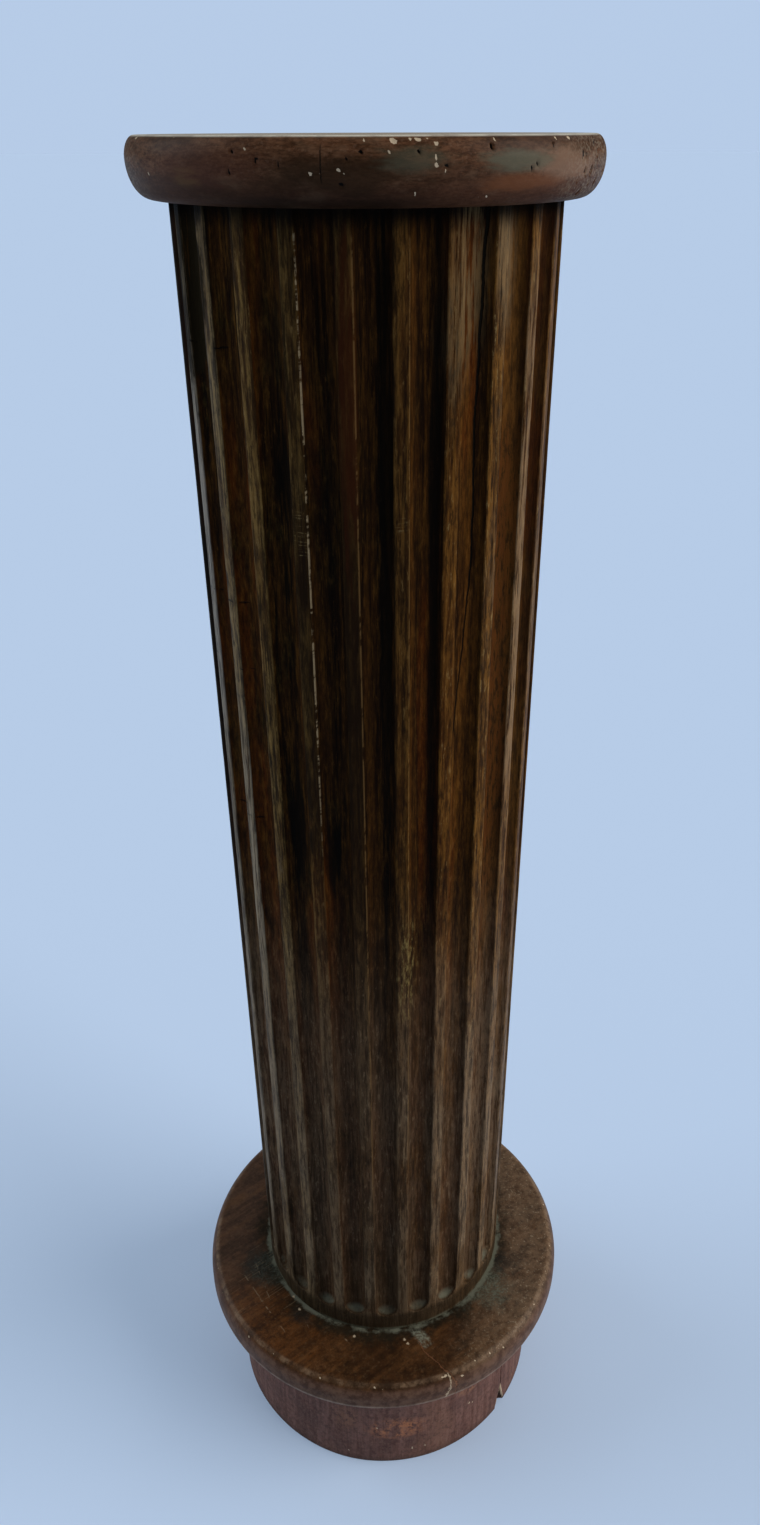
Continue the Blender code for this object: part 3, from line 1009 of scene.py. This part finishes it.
def base_finish():
    """Brown board with a painted orange glow in front, and grime around the shaft."""
    f = Finish("grimy_waxed_base", BASE_RADIUS)
    chip = f.number("chip")
    plank = f.grain((16.0, 300.0, 300.0), 5.0, 0.66)
    blotch = f.grain((46.0, 46.0, 46.0), 6.0, 0.68, 3.0)
    broad = f.grain((17.0, 17.0, 17.0), 3.0, 0.5, 8.0)
    speck = f.grain((620.0, 620.0, 620.0), 3.0, 0.6, 6.0)
    sockets = {0: f.x * 0.73 + f.y * 0.68, 1: f.x * -0.68 + f.y * 0.73, 2: 0.0}
    scratch_point = f.point.node("ShaderNodeCombineXYZ", {}, sockets)
    scratch = grain(scratch_point, (14.0, 800.0, 0.0), 3.0, 0.6, 2.0)

    mottle = f.grain((120.0, 120.0, 120.0), 5.0, 0.72, 13.0)
    f.colour = tint(rise(blotch, 0.36, 0.62), (0.016, 0.0065, 0.0024), (0.054, 0.021, 0.0066))
    f.lay(rise(mottle, 0.4, 0.62) * 0.4, (0.086, 0.034, 0.011))
    f.lay(rise(plank, 0.42, 0.66) * 0.18, (0.105, 0.045, 0.017))
    grit = f.grain((300.0, 300.0, 300.0), 4.0, 0.72, 19.0)
    paler_left = fall(f.x, -0.135, -0.085)
    f.lay(paler_left * 0.52, (0.125, 0.06, 0.034))
    f.lay(rise(speck, 0.52, 0.66) * 0.14, (0.18, 0.11, 0.05))
    painted_glow = 0.35 + 0.35 * rise(mottle, 0.4, 0.6) + 0.3 * rise(speck, 0.44, 0.6)
    # Painted light: an orange glow on the top's front left, and a fainter one in front.
    f.top_patches(blotch, (
        (-0.078, -0.098, 0.072, painted_glow * 0.5, (0.115, 0.035, 0.005)),
        (0.000, -0.128, 0.045, painted_glow * 0.15, (0.085, 0.031, 0.005)),
    ))
    brushed = grain(scratch_point, (16.0, 120.0, 0.0), 5.0, 0.66, 5.0)
    f.lay(0.18 * fall(mottle, 0.4, 0.5), (0.014, 0.0062, 0.0024))
    f.lay(0.42 * fall(brushed, 0.4, 0.54), (0.014, 0.006, 0.0022))
    f.lay(rise(brushed, 0.53, 0.64) * 0.34, (0.135, 0.056, 0.017))
    f.top_patches(mottle, ((0.012, -0.128, 0.034, 0.45, (0.022, 0.0085, 0.003)),))
    dusty = rise(f.x, 0.055, 0.115) * (rise(mottle, 0.36, 0.6) * 0.6 + 0.4)
    f.lay(dusty * 0.7, (0.175, 0.108, 0.062))
    f.lay(rise(speck, 0.6, 0.66) * dusty * 0.6, (0.36, 0.28, 0.19))
    from_shaft = f.radius - SHAFT_FOOT_RADIUS
    grime = fall(from_shaft + (blotch - 0.5) * 0.05, 0.000, 0.018)
    f.lay(grime * 0.85, (0.014, 0.011, 0.006))
    soot = (0.6 + 0.4 * rise(mottle, 0.4, 0.56)) * 0.8
    mould = rise(speck, 0.42, 0.6) * 0.6 + 0.25
    f.top_patches(blotch, (
        (-0.108, -0.044, 0.022, soot, (0.012, 0.012, 0.01)),
        (-0.058, -0.095, 0.012, soot, (0.012, 0.012, 0.01)),
        (0.104, -0.03, 0.02, soot, (0.012, 0.012, 0.01)),
        (0.092, -0.052, 0.03, mould, (0.115, 0.12, 0.085)),
        (-0.095, -0.05, 0.026, mould * 0.7, (0.05, 0.056, 0.042)),
    ))
    f.lay(0.3 * fall(grit, 0.36, 0.5), (0.012, 0.0055, 0.0025))
    f.lay(rise(grit, 0.55, 0.68) * (0.12 + 0.24 * dusty), (0.21, 0.13, 0.07))
    line_dust = fall(from_shaft + (mottle - 0.5) * 0.01, 0.0016, 0.0046)
    f.lay(line_dust * rise(blotch, 0.36, 0.52) * 0.85, (0.15, 0.15, 0.108))
    smear = stroke(f, (0.034, -0.096), (0.049, -0.113), 0.006, mottle)
    f.lay(smear * mould * rise(mottle, 0.36, 0.56), (0.22, 0.22, 0.16))
    scratches = rise(scratch, 0.57, 0.66) * rise(mottle, 0.42, 0.56) * 0.35
    f.top_patches(None, ((-0.095, -0.07, 0.06, scratches, (0.24, 0.16, 0.09)),))
    broken = rise(mottle, 0.46, 0.58) * 0.4
    for ends in (
        ((-0.118, -0.056), (-0.08, -0.1)),
        ((-0.108, -0.046), (-0.088, -0.082)),
        ((-0.1, -0.078), (-0.068, -0.112)),
        ((-0.059, -0.094), (-0.05, -0.106)),
        ((-0.022, -0.11), (-0.014, -0.117)),
        ((0.086, -0.088), (0.096, -0.078)),
    ):
        f.lay(stroke(f, *ends, 0.0006, speck) * broken, (0.28, 0.2, 0.12))
    flecks = ((-0.069, -0.0765), (-0.062, -0.088), (-0.013, -0.1085), (0.028, -0.108), (0.031, -0.111))
    f.top_patches(speck, [(*fleck, 0.0016, 0.8, CREAM) for fleck in flecks])

    side = fall(f.z, BASE_HIGH.z - 0.007, BASE_HIGH.z - 0.002)
    band = tint(rise(mottle, 0.36, 0.64), (0.072, 0.034, 0.02), (0.15, 0.08, 0.05))
    f.lay(side * 0.85, band)
    # Painted highlight: a soft pale line where the top rolls over into the side.
    edge_highlight_away = abs(f.z - (BASE_HIGH.z - 0.0014) + (blotch - 0.5) * 0.0012)
    painted_edge_highlight = fall(edge_highlight_away, 0.0004, 0.002) * (0.25 + 0.75 * rise(mottle, 0.42, 0.6))
    painted_edge_highlight = painted_edge_highlight * fall(f.z, BASE_HIGH.z - 0.0006, BASE_HIGH.z - 0.0001)
    f.lay(painted_edge_highlight * (0.25 + 0.35 * rise(blotch, 0.44, 0.56)), (0.23, 0.145, 0.085))
    # Painted highlight along the board's lower edge, partly dust.
    rim_dust_and_highlight = fall(abs(f.z - (BASE_LOW.z + 0.0022)), 0.0004, 0.0026) * (0.45 + 0.55 * rise(broad, 0.34, 0.56))
    rim_dust_and_highlight = rim_dust_and_highlight * (0.55 + 0.45 * rise(mottle, 0.4, 0.58))
    f.lay(rim_dust_and_highlight * 0.8, (0.33, 0.235, 0.17))
    band_away = abs(f.degrees - 24.5 - 1.7 * rise(f.z, 0.114, 0.126) + (grit - 0.5) * 3.0)
    crack_end = fall(f.z, BASE_HIGH.z - 0.0012, BASE_HIGH.z - 0.0004)
    band_crack = fall(band_away, 0.12, 0.34) * crack_end * rise(f.z, 0.1145, 0.1155)
    f.lay(band_crack * 0.85, CREAM)

    crack_away = abs(f.degrees - 20.0 - (f.radius - 0.115) * 190.0 + (blotch - 0.5) * 6.0)
    crack = fall(crack_away, 0.1, 0.34) * rise(f.radius, 0.113, 0.117)
    f.lay(crack * 0.45, (0.25, 0.1, 0.045))
    f.lay(flaked(chip, speck), CREAM)
    roughness = 0.44 + 0.2 * blotch + 0.22 * grime
    sheen = (0.04 + 0.1 * rise(abs(f.x), 0.05, 0.13)) * (1.0 - 0.7 * grime)
    relief = plank * 0.3 + blotch * 0.5 + mottle * 0.3 + speck * 0.12 - crack * 0.8
    return f.finish(roughness, sheen, relief, 0.05, 0.0007)


def stroke(f, start, end, half_width, wander):
    """1 along a straight scratch or smear on the base board's top, 0 beside it."""
    length = math.dist(start, end)
    way = ((end[0] - start[0]) / length, (end[1] - start[1]) / length)
    x = f.x - start[0]
    y = f.y - start[1]
    along = x * way[0] + y * way[1]
    aside = x * way[1] - y * way[0]
    aside = abs(aside + (wander - 0.5) * half_width * 1.5)
    within = rise(along, 0.0, length * 0.15) * fall(along, length * 0.85, length)
    on_top = rise(f.z, BASE_HIGH.z - 0.002, BASE_HIGH.z - 0.001)
    return fall(aside, half_width * 0.4, half_width) * within * on_top


def plinth_finish():
    """Matt purple brown with faint upright streaks and orange worn patches."""
    f = Finish("matt_plinth", DRUM_RADIUS)
    chip = f.number("chip")
    streak = f.grain((240.0, 240.0, 14.0), 4.0, 0.66)
    blotch = f.grain((52.0, 52.0, 36.0), 6.0, 0.68, 5.0)
    broad = f.grain((14.0, 14.0, 9.0), 3.0, 0.5, 1.0)
    speck = f.grain((620.0, 620.0, 620.0), 3.0, 0.6, 6.0)
    f.colour = tint(rise(streak, 0.36, 0.66), (0.118, 0.051, 0.036), (0.195, 0.096, 0.073))
    f.lay(rise(blotch, 0.42, 0.66) * 0.45, (0.085, 0.044, 0.036))
    f.lay(rise(broad, 0.5, 0.66) * 0.4, (0.22, 0.105, 0.062))
    f.lay(rise(speck, 0.52, 0.66) * 0.2, (0.25, 0.16, 0.12))
    grit = f.grain((260.0, 260.0, 200.0), 4.0, 0.72, 19.0)
    rub = rise(blotch, 0.4, 0.56) * rise(grit, 0.36, 0.56)
    f.side_patches(blotch, (
        (10.5, 0.047, 0.034, 0.018, rub, (0.42, 0.16, 0.07)),
        (40.0, 0.07, 0.02, 0.01, rub * 0.8, (0.3, 0.135, 0.068)),
        (-9.0, 0.058, 0.018, 0.022, rub * 0.5, (0.25, 0.115, 0.06)),
    ))
    f.lay(0.4 * fall(grit, 0.38, 0.5), (0.04, 0.018, 0.013))
    f.lay(rise(grit, 0.54, 0.66) * 0.2, (0.3, 0.18, 0.13))
    f.lay(fall(f.z, 0.001, 0.01) * 0.4, (0.04, 0.026, 0.018))
    # In the chip, bare wood is cream near its face and painted darker deeper in, which is painted shade.
    depth = DRUM_RADIUS - f.radius
    bare = rise(depth, 0.0007, 0.001)
    inside = tint(rise(depth, 0.0009, 0.0013), (0.62, 0.42, 0.24), (0.04, 0.013, 0.003))
    outer_part = rise(f.z, 0.0005, 0.001) * fall(f.z, DRUM_HIGH.z - 0.0015, DRUM_HIGH.z - 0.001)
    f.lay(bare * outer_part, inside)
    half_gap = CHIP_WIDTH / 2.0 * (1.0 - f.z / CHIP_HEIGHT)
    lip = abs(f.around(CHIP_BEARING)) - half_gap + (speck - 0.5) * 0.0016
    lip = fall(lip, 0.0001, 0.0005) * (1.0 - bare) * fall(f.z, 0.029, 0.033)
    f.lay(lip * rise(f.z, 0.002, 0.006), (0.56, 0.42, 0.28))
    f.lay(flaked(chip, speck), CREAM)
    roughness = 0.58 + 0.2 * streak
    relief = streak * 0.4 + blotch * 0.4 + speck * 0.15
    return f.finish(roughness, None, relief, 0.09, 0.0006)


# Stage, lights and camera


def plain_material(name, colour, glow):
    """One even matt colour for the stage, with a faint glow that lightens its shadows."""
    material = bpy.data.materials.new(name)
    material.use_nodes = True
    shader = material.node_tree.nodes["Principled BSDF"]
    shader.inputs["Base Color"].default_value = (*colour, 1.0)
    shader.inputs["Roughness"].default_value = 1.0
    shader.inputs["Specular IOR Level"].default_value = 0.0
    shader.inputs["Emission Color"].default_value = (*glow, 1.0)
    shader.inputs["Emission Strength"].default_value = 1.0
    return material


def make_stage():
    """A wide pale floor under a pale sky, which lights the column only faintly."""
    deselect_all()
    bpy.ops.mesh.primitive_circle_add(vertices=96, radius=FLOOR_RADIUS, fill_type='NGON')
    floor = bpy.context.object
    floor.name = "floor"
    floor.data.materials.append(plain_material("pale_floor", FLOOR_COLOUR, FLOOR_GLOW))
    world = bpy.data.worlds.new("studio")
    bpy.context.scene.world = world
    world.use_nodes = True
    background = world.node_tree.nodes["Background"]
    background.inputs["Color"].default_value = (*SKY_COLOUR, 1.0)
    seen = Wire(world.node_tree).node("ShaderNodeLightPath", {}, {})
    strength = SKY_LIGHT + (SKY_SEEN - SKY_LIGHT) * seen
    world.node_tree.links.new(strength.socket, background.inputs["Strength"])
    bpy.context.scene.view_settings.view_transform = 'Standard'


def soft_sun(name, bearing, elevation, strength, colour, spread):
    """A wide soft light from one side, the same all over the floor."""
    data = bpy.data.lights.new(name, 'SUN')
    data.energy = strength
    data.color = colour
    data.angle = math.radians(spread)
    light = bpy.data.objects.new(name, data)
    bpy.context.scene.collection.objects.link(light)
    angle = math.radians(bearing)
    height = math.sin(math.radians(elevation))
    level = math.cos(math.radians(elevation))
    away = Vector((math.sin(angle) * level, -math.cos(angle) * level, height))
    light.location = 3.0 * away
    light.rotation_euler = away.to_track_quat('Z', 'Y').to_euler()


def make_camera():
    """The camera that fits the photograph."""
    data = bpy.data.cameras.new("camera")
    data.sensor_width = SENSOR
    data.lens = FOCAL_PIXELS * SENSOR / PHOTO_HEIGHT
    data.shift_x = -AXIS_SHIFT_PIXELS / PHOTO_HEIGHT
    camera = bpy.data.objects.new("camera", data)
    bpy.context.scene.collection.objects.link(camera)
    place = Matrix.Rotation(CAMERA_BEARING, 4, 'Z') @ Vector((0.0, -CAMERA_DISTANCE, CAMERA_HEIGHT))
    heading = Matrix.Rotation(CAMERA_BEARING - CAMERA_YAW, 4, 'Z')
    pitch = Matrix.Rotation(math.pi / 2.0 - CAMERA_PITCH, 4, 'X')
    roll = Matrix.Rotation(-CAMERA_ROLL, 4, 'Z')
    camera.matrix_world = Matrix.Translation(place) @ heading @ pitch @ roll
    bpy.context.scene.camera = camera


def main():
    """Dress the column and light it."""
    make_camera()
    make_plinth_drum(plinth_finish())
    make_base_disc(base_finish())
    make_shaft(shaft_finish())
    make_top_disc(top_finish())
    make_stage()
    for sun in SUNS:
        soft_sun(*sun)


main()
